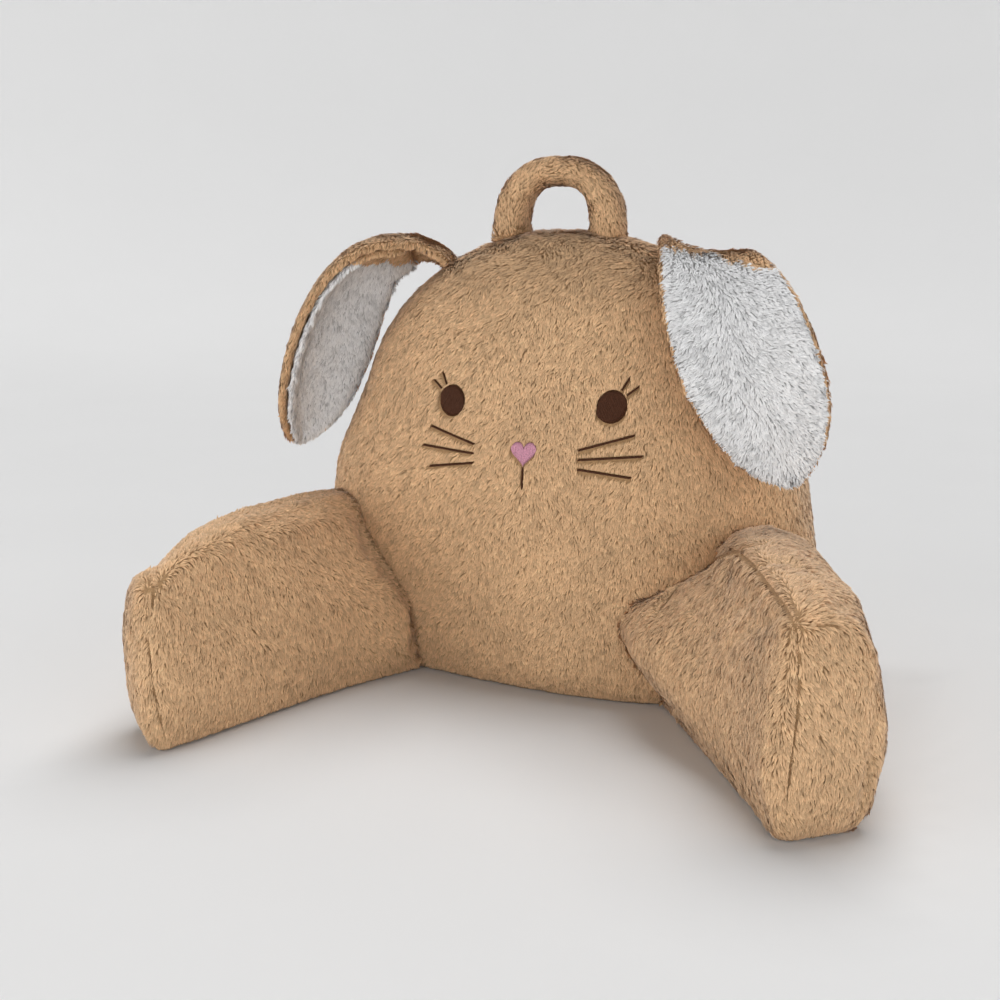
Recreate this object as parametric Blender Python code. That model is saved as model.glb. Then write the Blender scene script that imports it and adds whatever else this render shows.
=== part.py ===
# Backrest pillow: a filled backrest with two padded arms, a carry handle, floppy ears and a sewn face.
# Units are metres, +Z is up, the front looks along -Y and the floor is z = 0.
import math

import bmesh
import bpy
from mathutils import Vector
from mathutils.bvhtree import BVHTree

# Gap between two sewn pieces and the height of the raised stitching
SEWN_GAP = 0.0004
STITCH_GAP = 0.0003
STITCH_RISE = 0.0014

# Backrest: horizontal sections from the floor to the top
# half_width is the side strip's furthest point, seam_front and seam_back are where the strip meets the panels
BODY_COLUMNS = ("height", "half_width", "seam_front", "seam_back", "crown_front", "crown_back")
BODY_ROWS = (
    (0.000, 0.226, 0.068, 0.070, 0.047, 0.026),
    (0.050, 0.232, 0.066, 0.070, 0.060, 0.034),
    (0.110, 0.231, 0.062, 0.068, 0.064, 0.038),
    (0.170, 0.224, 0.058, 0.064, 0.064, 0.038),
    (0.230, 0.210, 0.053, 0.059, 0.059, 0.034),
    (0.290, 0.187, 0.047, 0.053, 0.048, 0.028),
    (0.335, 0.157, 0.042, 0.047, 0.035, 0.020),
    (0.368, 0.117, 0.037, 0.042, 0.022, 0.012),
    (0.388, 0.075, 0.033, 0.038, 0.012, 0.007),
    (0.3975, 0.036, 0.029, 0.033, 0.005, 0.003),
    (0.400, 0.014, 0.020, 0.024, 0.002, 0.002),
)
BODY_LEVELS = (0.0, 0.005, 0.013, 0.030, 0.052, 0.078, 0.105, 0.132, 0.158, 0.184, 0.210, 0.236, 0.262, 0.287,
               0.310, 0.331, 0.349, 0.364, 0.376, 0.386, 0.3935, 0.3980, 0.3997)
BODY_FRONT_STEPS = 18
BODY_SIDE_STEPS = 6
BODY_BACK_STEPS = 12
SIDE_BULGE = 0.013
PANEL_LIP = 0.004
FRONT_LEAN = 0.80
BODY_HEIGHT = 0.400
BASE_ROLL = 0.022
BASE_TUCK = 0.015

# Arms: sections from inside the backrest to the end panel, x counted away from the middle
# inner and outer are the plan places of the section's two lower corners, lean is how far the top seam is set in
ARM_COLUMNS = ("inner_x", "inner_y", "outer_x", "outer_y", "height", "lean", "swell")
ARM_RIGHT_ROWS = (
    (0.082, -0.010, 0.207, 0.062, 0.134, 0.42, 0.046),
    (0.100, -0.084, 0.230, 0.000, 0.150, 0.42, 0.059),
    (0.142, -0.164, 0.256, -0.086, 0.163, 0.31, 0.052),
    (0.192, -0.248, 0.285, -0.179, 0.167, 0.18, 0.020),
    (0.232, -0.316, 0.310, -0.253, 0.165, 0.10, 0.010),
    (0.253, -0.356, 0.317, -0.301, 0.159, 0.07, 0.008),
)
ARM_LEFT_ROWS = (
    (0.078, -0.006, 0.212, 0.062, 0.152, 0.52, 0.020),
    (0.096, -0.080, 0.235, 0.000, 0.160, 0.52, 0.022),
    (0.139, -0.168, 0.247, -0.090, 0.169, 0.38, 0.018),
    (0.171, -0.263, 0.252, -0.186, 0.170, 0.21, 0.012),
    (0.190, -0.326, 0.255, -0.256, 0.160, 0.12, 0.009),
    (0.202, -0.360, 0.259, -0.298, 0.143, 0.10, 0.006),
)
ARM_SECTIONS = 15
ARM_TOP_RADIUS = 0.030
ARM_BULGE = 0.007
CORNER_STEPS = 3

# Carry handle: a padded strap bent into a loop over the top seam
HANDLE_X = -0.007
HANDLE_Y = -0.004
HANDLE_HALF_SPAN = 0.0465
HANDLE_RISE = 0.053
HANDLE_THICK = 0.029
HANDLE_DEPTH = 0.041
HANDLE_STEPS = 18
HANDLE_SIDES = 12

# Ears: spine from the top seam to the tip, half width, cup angle and the way the lining faces, all by eye
EAR_COLUMNS = ("x", "y", "z", "half_width", "cup", "face_x", "face_y", "face_z")
EAR_RIGHT_ROWS = (
    (0.108, -0.004, 0.360, 0.026, 10.0, 0.56, -0.14, 0.80),
    (0.126, -0.040, 0.380, 0.030, 14.0, 0.56, -0.52, 0.64),
    (0.147, -0.077, 0.368, 0.040, 14.0, 0.42, -0.86, 0.30),
    (0.166, -0.097, 0.336, 0.049, 14.0, 0.26, -0.95, 0.10),
    (0.185, -0.106, 0.297, 0.053, 15.0, 0.18, -0.98, 0.02),
    (0.203, -0.108, 0.258, 0.048, 18.0, 0.16, -0.98, -0.02),
    (0.217, -0.107, 0.222, 0.033, 22.0, 0.14, -0.98, -0.04),
    (0.226, -0.105, 0.197, 0.004, 22.0, 0.12, -0.98, -0.05),
)
EAR_LEFT_ROWS = (
    (-0.106, -0.006, 0.362, 0.026, 20.0, -0.05, -0.10, -0.99),
    (-0.140, -0.014, 0.386, 0.034, 32.0, 0.24, -0.10, -0.95),
    (-0.178, -0.026, 0.380, 0.045, 44.0, 0.66, -0.16, -0.73),
    (-0.208, -0.038, 0.350, 0.054, 48.0, 0.88, -0.22, -0.38),
    (-0.226, -0.048, 0.309, 0.057, 50.0, 0.94, -0.26, -0.15),
    (-0.237, -0.056, 0.266, 0.052, 48.0, 0.95, -0.27, -0.06),
    (-0.243, -0.062, 0.229, 0.036, 44.0, 0.95, -0.27, -0.02),
    (-0.246, -0.066, 0.203, 0.004, 40.0, 0.95, -0.27, 0.00),
)
EAR_LENGTH_STEPS = 17
EAR_WIDTH_STEPS = 8
EAR_OUTER_THICK = 0.0085
EAR_LINING_THICK = 0.0060
EAR_LINING_GAP = 0.0012
EAR_RIM = 0.007
EAR_LINING_START = 0.20

# Sewn face: a plain rabbit face laid out in round sizes
EYE_SPREAD = 0.072
EYE_HEIGHT = 0.252
EYE_RADIUS = 0.0125
LASH_LENGTH = 0.011
LASH_ANGLES = (38.0, 62.0)
NOSE_HEIGHT = 0.212
NOSE_WIDTH = 0.023
NOSE_TALL = 0.021
MOUTH_LENGTH = 0.018
LINE_WIDTH = 0.0026
WHISKER_START = 0.048
WHISKER_COLUMNS = ("start_height", "length", "slope")
WHISKER_ROWS = (
    (0.2160, 0.046, 16.0),
    (0.2080, 0.052, 4.0),
    (0.2000, 0.044, -8.0),
)

# Colours in linear values
FUR_TAN = (0.53, 0.345, 0.185, 1.0)
FUR_WHITE = (0.83, 0.82, 0.80, 1.0)
THREAD_BROWN = (0.055, 0.018, 0.009, 1.0)
THREAD_PINK = (0.68, 0.33, 0.45, 1.0)


def clear_scene():
    for old in list(bpy.data.objects):
        bpy.data.objects.remove(old, do_unlink=True)


def make_material(name, colour, roughness):
    material = bpy.data.materials.new(name)
    material.use_nodes = True
    shader = material.node_tree.nodes["Principled BSDF"]
    shader.inputs["Base Color"].default_value = colour
    shader.inputs["Roughness"].default_value = roughness
    shader.inputs["Metallic"].default_value = 0.0
    material.diffuse_color = colour
    return material


def add_object(name, points, faces, material, parent=None):
    mesh = bpy.data.meshes.new(name)
    mesh.from_pydata([tuple(p) for p in points], [], faces)
    obj = bpy.data.objects.new(name, mesh)
    bpy.context.scene.collection.objects.link(obj)
    obj.data.materials.append(material)
    obj.parent = parent
    work = bmesh.new()
    work.from_mesh(mesh)
    bmesh.ops.remove_doubles(work, verts=work.verts, dist=1e-6)
    bmesh.ops.recalc_face_normals(work, faces=work.faces)
    bmesh.ops.triangulate(work, faces=work.faces, quad_method="FIXED", ngon_method="BEAUTY")
    work.to_mesh(mesh)
    work.free()
    return obj


def table_value(rows, columns, key, wanted, at):
    # Smooth curve through a table's rows, read at one value of the key column
    k = columns.index(key)
    w = columns.index(wanted)
    xs = [row[k] for row in rows]
    ys = [row[w] for row in rows]
    at = min(max(at, xs[0]), xs[-1])
    i = 0
    while i < len(xs) - 2 and at > xs[i + 1]:
        i += 1
    step = xs[i + 1] - xs[i]
    t = (at - xs[i]) / step

    def slope(j):
        if j == 0:
            return (ys[1] - ys[0]) / (xs[1] - xs[0])
        if j == len(xs) - 1:
            return (ys[-1] - ys[-2]) / (xs[-1] - xs[-2])
        before = (ys[j] - ys[j - 1]) / (xs[j] - xs[j - 1])
        after = (ys[j + 1] - ys[j]) / (xs[j + 1] - xs[j])
        if before * after <= 0.0:
            return 0.0
        return 2.0 * before * after / (before + after)

    m0 = slope(i) * step
    m1 = slope(i + 1) * step
    t2 = t * t
    t3 = t2 * t
    return ((2 * t3 - 3 * t2 + 1) * ys[i] + (t3 - 2 * t2 + t) * m0
            + (-2 * t3 + 3 * t2) * ys[i + 1] + (t3 - t2) * m1)


def row_value(rows, columns, wanted, t):
    # Same, with the rows spread evenly over t from 0 to 1
    last = len(rows) - 1
    numbered = [(i / last,) + tuple(row) for i, row in enumerate(rows)]
    return table_value(numbered, ("t",) + tuple(columns), "t", wanted, t)


def ramp(value, start, end):
    t = min(max((value - start) / (end - start), 0.0), 1.0)
    return t * t * (3.0 - 2.0 * t)


def soft_lump(x, y, z):
    # Uneven filling, a few millimetres in and out
    return (0.0020 * math.sin(23.0 * x + 31.0 * z + 0.6)
            + 0.0016 * math.sin(41.0 * x - 27.0 * z + 17.0 * y + 2.1)
            + 0.0012 * math.sin(52.0 * z + 13.0 * x + 0.9))


def body_ring(z):
    half = table_value(BODY_ROWS, BODY_COLUMNS, "height", "half_width", z)
    front = table_value(BODY_ROWS, BODY_COLUMNS, "height", "seam_front", z)
    back = table_value(BODY_ROWS, BODY_COLUMNS, "height", "seam_back", z)
    crown_front = table_value(BODY_ROWS, BODY_COLUMNS, "height", "crown_front", z)
    crown_back = table_value(BODY_ROWS, BODY_COLUMNS, "height", "crown_back", z)
    bulge = SIDE_BULGE * ramp(half, 0.0, 0.08)
    lip = PANEL_LIP * ramp(half, 0.0, 0.08)
    seam_x = half - bulge
    ring = []
    for i in range(BODY_FRONT_STEPS + 1):
        u = -math.cos(math.pi * (0.10 + 0.80 * i / BODY_FRONT_STEPS)) / math.cos(math.pi * 0.10)
        fuller = 1.0 + FRONT_LEAN * u * (1.0 - ramp(z, 0.02, 0.20))
        y = -(front + crown_front * (1.0 - abs(u) ** 2.2) * fuller + lip * (1.0 - abs(u) ** 14))
        ring.append([u * seam_x, y])
    for i in range(1, BODY_SIDE_STEPS):
        v = i / BODY_SIDE_STEPS
        ring.append([seam_x + bulge * math.sin(math.pi * v) ** 0.55, -front + (front + back) * v])
    for i in range(BODY_BACK_STEPS + 1):
        u = math.cos(math.pi * (0.10 + 0.80 * i / BODY_BACK_STEPS)) / math.cos(math.pi * 0.10)
        y = back + crown_back * (1.0 - abs(u) ** 2.4) + lip * (1.0 - abs(u) ** 14)
        ring.append([u * seam_x, y])
    for i in range(1, BODY_SIDE_STEPS):
        v = 1.0 - i / BODY_SIDE_STEPS
        ring.append([-seam_x - bulge * math.sin(math.pi * v) ** 0.55, -front + (front + back) * v])
    if z < BASE_ROLL:
        tuck = BASE_TUCK * (1.0 - math.sqrt(1.0 - (1.0 - z / BASE_ROLL) ** 2))
        deep = front + crown_front
        ring = [[x * (1.0 - tuck / half), y * (1.0 - tuck / deep)] for x, y in ring]
    return ring


def build_body(name, material, grow, floor_z, parent=None):
    points = []
    count = 0
    for z in BODY_LEVELS:
        ring = body_ring(z)
        count = len(ring)
        for x, y in ring:
            size = max(math.hypot(x, y), 1e-6)
            push = soft_lump(x, y, z) * ramp(z, 0.0, 0.06) * (1.0 - ramp(z, 0.33, 0.40))
            points.append(Vector((x + push * x / size, y + push * y / size, z)))
    faces = []
    for level in range(len(BODY_LEVELS) - 1):
        for i in range(count):
            j = (i + 1) % count
            a = level * count
            b = a + count
            faces.append((a + i, a + j, b + j, b + i))
    faces.append(tuple(reversed(range(count))))
    top = (len(BODY_LEVELS) - 1) * count
    points.append(Vector((0.0, 0.002, BODY_ROWS[-1][0])))
    for i in range(count):
        faces.append((top + i, top + (i + 1) % count, len(points) - 1))
    obj = add_object(name, points, faces, material, parent)
    if grow > 0.0:
        mesh = obj.data
        moved = [v.co + v.normal * grow * 1.6 for v in mesh.vertices]
        for vertex, place in zip(mesh.vertices, moved):
            if vertex.co.z < 1e-6:
                place.z = floor_z
            vertex.co = place
    return obj


def rounded_quad(corners, radii, bulges, side_steps):
    # Closed ring around four corners: rounded at each, and each side swelling outward by its bulge
    # The last side, from the top seam down to the inner floor corner, sags below its middle
    ring = []
    for i in range(4):
        here = Vector(corners[i])
        before = Vector(corners[i - 1])
        after = Vector(corners[(i + 1) % 4])
        back = (before - here).normalized()
        ahead = (after - here).normalized()
        radius = radii[i]
        start = here + back * radius
        finish = here + ahead * radius
        for j in range(CORNER_STEPS + 1):
            v = j / CORNER_STEPS
            ring.append(start * (1 - v) ** 2 + here * 2 * v * (1 - v) + finish * v * v)
        follow = after - ahead * radii[(i + 1) % 4]
        outward = Vector((ahead.y, -ahead.x))
        sag = 1.35 if i == 3 else 1.0
        for j in range(1, side_steps[i]):
            v = j / side_steps[i]
            ring.append(finish.lerp(follow, v) + outward * bulges[i] * math.sin(math.pi * v ** sag) ** 0.8)
    return ring


def arm_ring(rows, t, shrink, forward):
    # Corners in order: inner floor, outer floor, outer top, inner top seam
    inner_x = row_value(rows, ARM_COLUMNS, "inner_x", t)
    inner_y = row_value(rows, ARM_COLUMNS, "inner_y", t)
    outer_x = row_value(rows, ARM_COLUMNS, "outer_x", t)
    outer_y = row_value(rows, ARM_COLUMNS, "outer_y", t)
    tall = row_value(rows, ARM_COLUMNS, "height", t)
    lean = row_value(rows, ARM_COLUMNS, "lean", t)
    swell = row_value(rows, ARM_COLUMNS, "swell", t)
    inner = Vector((inner_x, inner_y, 0.0))
    outer = Vector((outer_x, outer_y, 0.0))
    wide = (outer - inner).length
    side = (outer - inner) / wide
    ahead = Vector((side.y, -side.x, 0.0))
    corners = ((0.0, 0.0), (wide, 0.0), (wide * 0.99, tall * 0.96), (wide * lean, tall))
    radii = (0.016, 0.026, 0.044, ARM_TOP_RADIUS)
    bulges = (0.0, ARM_BULGE, ARM_BULGE * 0.6, swell)
    ring = rounded_quad(corners, radii, bulges, (4, 5, 3, 7))
    centre = Vector((wide * 0.52, tall * 0.47))
    points = []
    for place in ring:
        flat = centre + (place - centre) * shrink
        points.append(inner + side * flat.x + Vector((0.0, 0.0, flat.y)) + ahead * forward)
    return points


def build_arm(name, rows, material, mirror):
    points = []
    stations = [(i / ARM_SECTIONS, 1.0, 0.0) for i in range(ARM_SECTIONS)]
    stations += [(1.0, 0.992, 0.000), (1.0, 0.965, 0.009), (1.0, 0.88, 0.016), (1.0, 0.70, 0.021), (1.0, 0.38, 0.024)]
    count = 0
    for t, shrink, forward in stations:
        ring = arm_ring(rows, t, shrink, forward)
        count = len(ring)
        points.extend(ring)
    faces = []
    for level in range(len(stations) - 1):
        a = level * count
        b = a + count
        for i in range(count):
            j = (i + 1) % count
            faces.append((a + i, b + i, b + j, a + j))
    faces.append(tuple(range(count)))
    last = (len(stations) - 1) * count
    faces.append(tuple(last + i for i in reversed(range(count))))
    for point in points:
        point.z += soft_lump(point.x, point.y, point.z + 0.3) * ramp(point.z, 0.0, 0.05)
    if mirror:
        points = [Vector((-p.x, p.y, p.z)) for p in points]
    return add_object(name, points, faces, material)


def cut_away(obj, cutter):
    tool = obj.modifiers.new("seam cut", "BOOLEAN")
    tool.operation = "DIFFERENCE"
    tool.solver = "EXACT"
    tool.object = cutter


def build_handle(name, material):
    # A rounded strap section swept over an arch whose feet stand in the top seam
    points = []
    foot_z = BODY_HEIGHT - 0.022
    arch = HANDLE_RISE + 0.022 - HANDLE_THICK * 0.5 + 0.012
    for i in range(HANDLE_STEPS + 1):
        angle = math.pi * i / HANDLE_STEPS
        cosine = math.cos(angle)
        x = -HANDLE_HALF_SPAN * math.copysign(abs(cosine) ** 0.80, cosine)
        z = foot_z + arch * math.sin(angle) ** 0.62
        points.append(Vector((HANDLE_X + x, HANDLE_Y, z)))
    rings = []
    for i, place in enumerate(points):
        before = points[max(i - 1, 0)]
        after = points[min(i + 1, HANDLE_STEPS)]
        along = (after - before).normalized()
        out = Vector((-along.z, 0.0, along.x))
        waist = 1.0 + 0.16 * abs((place.x - HANDLE_X) / HANDLE_HALF_SPAN) ** 3
        ring = []
        for j in range(HANDLE_SIDES):
            turn = 2.0 * math.pi * (j + 0.5) / HANDLE_SIDES
            c = math.copysign(abs(math.cos(turn)) ** 0.75, math.cos(turn))
            d = math.copysign(abs(math.sin(turn)) ** 0.75, math.sin(turn))
            ring.append(place + out * c * HANDLE_THICK * 0.5 * waist
                        + Vector((0.0, d * HANDLE_DEPTH * 0.5 * waist, 0.0)))
        rings.append(ring)
    flat = [p for ring in rings for p in ring]
    faces = []
    for level in range(HANDLE_STEPS):
        a = level * HANDLE_SIDES
        b = a + HANDLE_SIDES
        for i in range(HANDLE_SIDES):
            j = (i + 1) % HANDLE_SIDES
            faces.append((a + i, a + j, b + j, b + i))
    faces.append(tuple(range(HANDLE_SIDES)))
    last = HANDLE_STEPS * HANDLE_SIDES
    faces.append(tuple(last + i for i in reversed(range(HANDLE_SIDES))))
    return add_object(name, flat, faces, material)


def ear_sheet(rows, offset, inset, start, tip_inset):
    # Grid of points over the cupped ear, moved along the lining's facing direction
    grid = []
    for i in range(EAR_LENGTH_STEPS + 1):
        t = start + (1.0 - tip_inset - start) * (i / EAR_LENGTH_STEPS) ** 0.92
        spot = Vector([row_value(rows, EAR_COLUMNS, key, t) for key in ("x", "y", "z")])
        ahead = Vector([row_value(rows, EAR_COLUMNS, key, min(t + 0.02, 1.0)) for key in ("x", "y", "z")])
        behind = Vector([row_value(rows, EAR_COLUMNS, key, max(t - 0.02, 0.0)) for key in ("x", "y", "z")])
        along = (ahead - behind).normalized()
        face = Vector([row_value(rows, EAR_COLUMNS, key, t) for key in ("face_x", "face_y", "face_z")])
        face = (face - along * face.dot(along)).normalized()
        side = along.cross(face).normalized()
        half = max(row_value(rows, EAR_COLUMNS, "half_width", t) - inset, 0.0015)
        cup = math.radians(row_value(rows, EAR_COLUMNS, "cup", t))
        row = []
        for j in range(EAR_WIDTH_STEPS + 1):
            v = 2.0 * j / EAR_WIDTH_STEPS - 1.0
            bend = v * cup
            reach = half / cup
            normal = face * math.cos(bend) - side * math.sin(bend)
            place = spot + side * math.sin(bend) * reach + face * (1.0 - math.cos(bend)) * reach
            row.append(place + normal * offset)
        grid.append(row)
    return grid


def build_ear(name, rows, material, low, high, inset, start_at, tip_inset):
    under = ear_sheet(rows, low, inset, start_at, tip_inset)
    over = ear_sheet(rows, high, inset, start_at, tip_inset)
    rim = ear_sheet(rows, 0.5 * (low + high), inset - EAR_RIM * 0.45, max(start_at - 0.01, 0.0),
                    max(tip_inset - 0.008, 0.0))
    rows_count = EAR_LENGTH_STEPS + 1
    across = EAR_WIDTH_STEPS + 1
    points = [p for row in under for p in row] + [p for row in over for p in row]
    edge = [(0, j) for j in range(across)]
    edge += [(i, across - 1) for i in range(1, rows_count)]
    edge += [(rows_count - 1, j) for j in range(across - 2, -1, -1)]
    edge += [(i, 0) for i in range(rows_count - 2, 0, -1)]
    shift = rows_count * across
    start = len(points)
    points += [rim[i][j] for i, j in edge]
    faces = []
    for i in range(rows_count - 1):
        for j in range(across - 1):
            a = i * across + j
            faces.append((a, a + across, a + across + 1, a + 1))
            faces.append((shift + a, shift + a + 1, shift + a + across + 1, shift + a + across))
    for n in range(len(edge)):
        m = (n + 1) % len(edge)
        here = edge[n][0] * across + edge[n][1]
        there = edge[m][0] * across + edge[m][1]
        faces.append((here, there, start + m, start + n))
        faces.append((start + n, start + m, shift + there, shift + here))
    return add_object(name, points, faces, material)


class Panel:
    # The backrest's front, on which the stitching lies
    def __init__(self, body):
        mesh = body.data
        self.tree = BVHTree.FromPolygons([v.co.copy() for v in mesh.vertices],
                                         [tuple(p.vertices) for p in mesh.polygons])

    def place(self, x, z, lift):
        hit = self.tree.ray_cast(Vector((x, -0.5, z)), Vector((0.0, 1.0, 0.0)))
        spot, normal = hit[0], hit[1]
        if normal.y > 0.0:
            normal = -normal
        return Vector((x, spot.y - lift / max(-normal.y, 0.5), z))


def build_patch(name, panel, outline, material):
    # Filled stitching: a fan of rings inside the outline, raised a little in the middle
    centre_x = sum(p[0] for p in outline) / len(outline)
    centre_z = sum(p[1] for p in outline) / len(outline)
    count = len(outline)
    shares = (1.0, 0.94, 0.5)
    points = []
    for share in shares:
        lift = STITCH_GAP + STITCH_RISE * (0.35 if share == 1.0 else 1.0)
        for x, z in outline:
            points.append(panel.place(centre_x + (x - centre_x) * share, centre_z + (z - centre_z) * share, lift))
    points.append(panel.place(centre_x, centre_z, STITCH_GAP + STITCH_RISE * 1.05))
    middle = len(points) - 1
    for share in (1.0, 0.5):
        for x, z in outline:
            points.append(panel.place(centre_x + (x - centre_x) * share, centre_z + (z - centre_z) * share, STITCH_GAP))
    points.append(panel.place(centre_x, centre_z, STITCH_GAP))
    faces = []
    for i in range(count):
        j = (i + 1) % count
        faces.append((i, j, count + j, count + i))
        faces.append((count + i, count + j, 2 * count + j, 2 * count + i))
        faces.append((2 * count + i, 2 * count + j, middle))
        low = middle + 1
        faces.append((low + i, low + count + i, low + count + j, low + j))
        faces.append((low + count + i, low + 2 * count, low + count + j))
        faces.append((i, low + i, low + j, j))
    return add_object(name, points, faces, material)


def build_line(name, panel, start, finish, width, material):
    # One row of rope stitch between two places on the front
    steps = max(3, int(math.hypot(finish[0] - start[0], finish[1] - start[1]) / 0.006))
    along = Vector((finish[0] - start[0], finish[1] - start[1])).normalized()
    across = Vector((-along.y, along.x))
    points = []
    for i in range(steps + 1):
        v = i / steps
        x = start[0] + (finish[0] - start[0]) * v
        z = start[1] + (finish[1] - start[1]) * v
        half = 0.5 * width * (0.72 if i in (0, steps) else 1.0)
        for side, lift in ((-1, 0.0), (-0.7, 0.8), (0.0, 1.0), (0.7, 0.8), (1, 0.0)):
            points.append(panel.place(x + across.x * half * side, z + across.y * half * side,
                                      STITCH_GAP + STITCH_RISE * lift * 0.9))
    faces = []
    for i in range(steps):
        for j in range(5):
            k = (j + 1) % 5
            a = i * 5
            faces.append((a + j, a + 5 + j, a + 5 + k, a + k))
    faces.append((0, 1, 2, 3, 4))
    faces.append(tuple(steps * 5 + j for j in (4, 3, 2, 1, 0)))
    return add_object(name, points, faces, material)


def heart_outline():
    outline = []
    for i in range(28):
        a = 2.0 * math.pi * i / 28
        x = NOSE_WIDTH * 0.5 * math.sin(a) ** 3
        z = (13.0 * math.cos(a) - 5.0 * math.cos(2.0 * a) - 2.0 * math.cos(3.0 * a) - math.cos(4.0 * a)) / 29.0
        outline.append((x, NOSE_HEIGHT + NOSE_TALL * z))
    return outline


def build_face(body, brown, pink):
    panel = Panel(body)
    for side, label in ((-1.0, "left"), (1.0, "right")):
        eye = []
        for i in range(24):
            a = 2.0 * math.pi * i / 24
            eye.append((side * EYE_SPREAD + EYE_RADIUS * math.cos(a), EYE_HEIGHT + EYE_RADIUS * 1.08 * math.sin(a)))
        build_patch("eye_" + label, panel, eye, brown)
        for n, degrees in enumerate(LASH_ANGLES):
            a = math.radians(degrees)
            reach = EYE_RADIUS + 0.0022
            start = (side * (EYE_SPREAD + reach * math.cos(a)), EYE_HEIGHT + reach * 1.06 * math.sin(a))
            finish = (start[0] + side * LASH_LENGTH * math.cos(a), start[1] + LASH_LENGTH * math.sin(a))
            build_line("lash_%s_%d" % (label, n + 1), panel, start, finish, LINE_WIDTH * 0.85, brown)
        for n, row in enumerate(WHISKER_ROWS):
            height, length, slope = row
            a = math.radians(slope)
            start = (side * WHISKER_START, height)
            finish = (side * (WHISKER_START + length * math.cos(a)), height + length * math.sin(a))
            build_line("whisker_%s_%d" % (label, n + 1), panel, start, finish, LINE_WIDTH, brown)
    build_patch("nose", panel, heart_outline(), pink)
    low = min(z for x, z in heart_outline()) - 0.0008
    build_line("mouth", panel, (0.0, low), (0.0, low - MOUTH_LENGTH), LINE_WIDTH, brown)


def main():
    clear_scene()
    tan = make_material("tan_fur", FUR_TAN, 0.9)
    white = make_material("white_fur", FUR_WHITE, 0.9)
    brown = make_material("brown_thread", THREAD_BROWN, 0.6)
    pink = make_material("pink_thread", THREAD_PINK, 0.6)
    body = build_body("backrest", tan, 0.0, 0.0)
    cutter = build_body("seam_cutter", tan, SEWN_GAP, -0.03)
    cutter.hide_render = True
    cutter.display_type = "WIRE"
    cut_away(build_arm("arm_right", ARM_RIGHT_ROWS, tan, False), cutter)
    cut_away(build_arm("arm_left", ARM_LEFT_ROWS, tan, True), cutter)
    cut_away(build_handle("handle", tan), cutter)
    for side, rows in (("right", EAR_RIGHT_ROWS), ("left", EAR_LEFT_ROWS)):
        outer = build_ear("ear_%s_outer" % side, rows, tan, -EAR_OUTER_THICK, -SEWN_GAP * 0.5, 0.0, 0.0, 0.0)
        lining = build_ear("ear_%s_lining" % side, rows, white, EAR_LINING_GAP, EAR_LINING_THICK, EAR_RIM,
                           EAR_LINING_START, 0.03)
        cut_away(outer, cutter)
        cut_away(lining, cutter)
    build_face(body, brown, pink)


main()
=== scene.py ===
# Looks of the plush backrest pillow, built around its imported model.
# Units are metres, +Z is up and the front looks along -Y.
import math

import bmesh
import bpy
import numpy as np
from bpy.props import FloatProperty, FloatVectorProperty, PointerProperty
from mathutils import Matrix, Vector
from mathutils.bvhtree import BVHTree


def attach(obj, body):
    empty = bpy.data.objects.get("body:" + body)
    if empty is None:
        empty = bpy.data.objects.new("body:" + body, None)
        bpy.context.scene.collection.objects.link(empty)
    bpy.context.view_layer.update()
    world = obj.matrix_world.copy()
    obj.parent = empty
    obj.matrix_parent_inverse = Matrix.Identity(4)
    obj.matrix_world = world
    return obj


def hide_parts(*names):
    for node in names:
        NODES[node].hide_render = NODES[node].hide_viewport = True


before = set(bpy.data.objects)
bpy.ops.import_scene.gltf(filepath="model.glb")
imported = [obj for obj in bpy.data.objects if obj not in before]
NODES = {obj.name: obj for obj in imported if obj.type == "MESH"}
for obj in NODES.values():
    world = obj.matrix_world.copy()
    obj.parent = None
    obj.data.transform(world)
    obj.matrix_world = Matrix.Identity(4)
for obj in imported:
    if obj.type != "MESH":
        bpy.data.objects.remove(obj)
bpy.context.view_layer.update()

bl_info = {
    "name": "Plush backrest pillow",
    "version": (1, 0, 0),
    "blender": (4, 5, 0),
    "location": "3D View > Sidebar > Pillow",
    "description": "Builds covers, plush pile, stitching and studio for a backrest pillow",
    "category": "Object",
}

# Camera of the photograph: place, turn to the left, tilt down and lens on a 36 mm sensor
CAMERA_PLACE = (0.399, -1.225, 0.387)
CAMERA_TURN = 20.8
CAMERA_TILT = 10.4
CAMERA_LENS = 50.4

# Where the front panel and the back panel are sewn to the side strip
STRIP_COLUMNS = ("height", "seam_x", "front_y", "back_y")
STRIP_ROWS = (
    (0.020, 0.214, -0.068, 0.070),
    (0.110, 0.218, -0.062, 0.068),
    (0.170, 0.211, -0.058, 0.064),
    (0.230, 0.197, -0.053, 0.059),
    (0.290, 0.174, -0.047, 0.053),
    (0.335, 0.144, -0.042, 0.047),
    (0.368, 0.104, -0.037, 0.042),
    (0.388, 0.062, -0.033, 0.038),
    (0.3975, 0.030, -0.029, 0.033),
)

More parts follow.
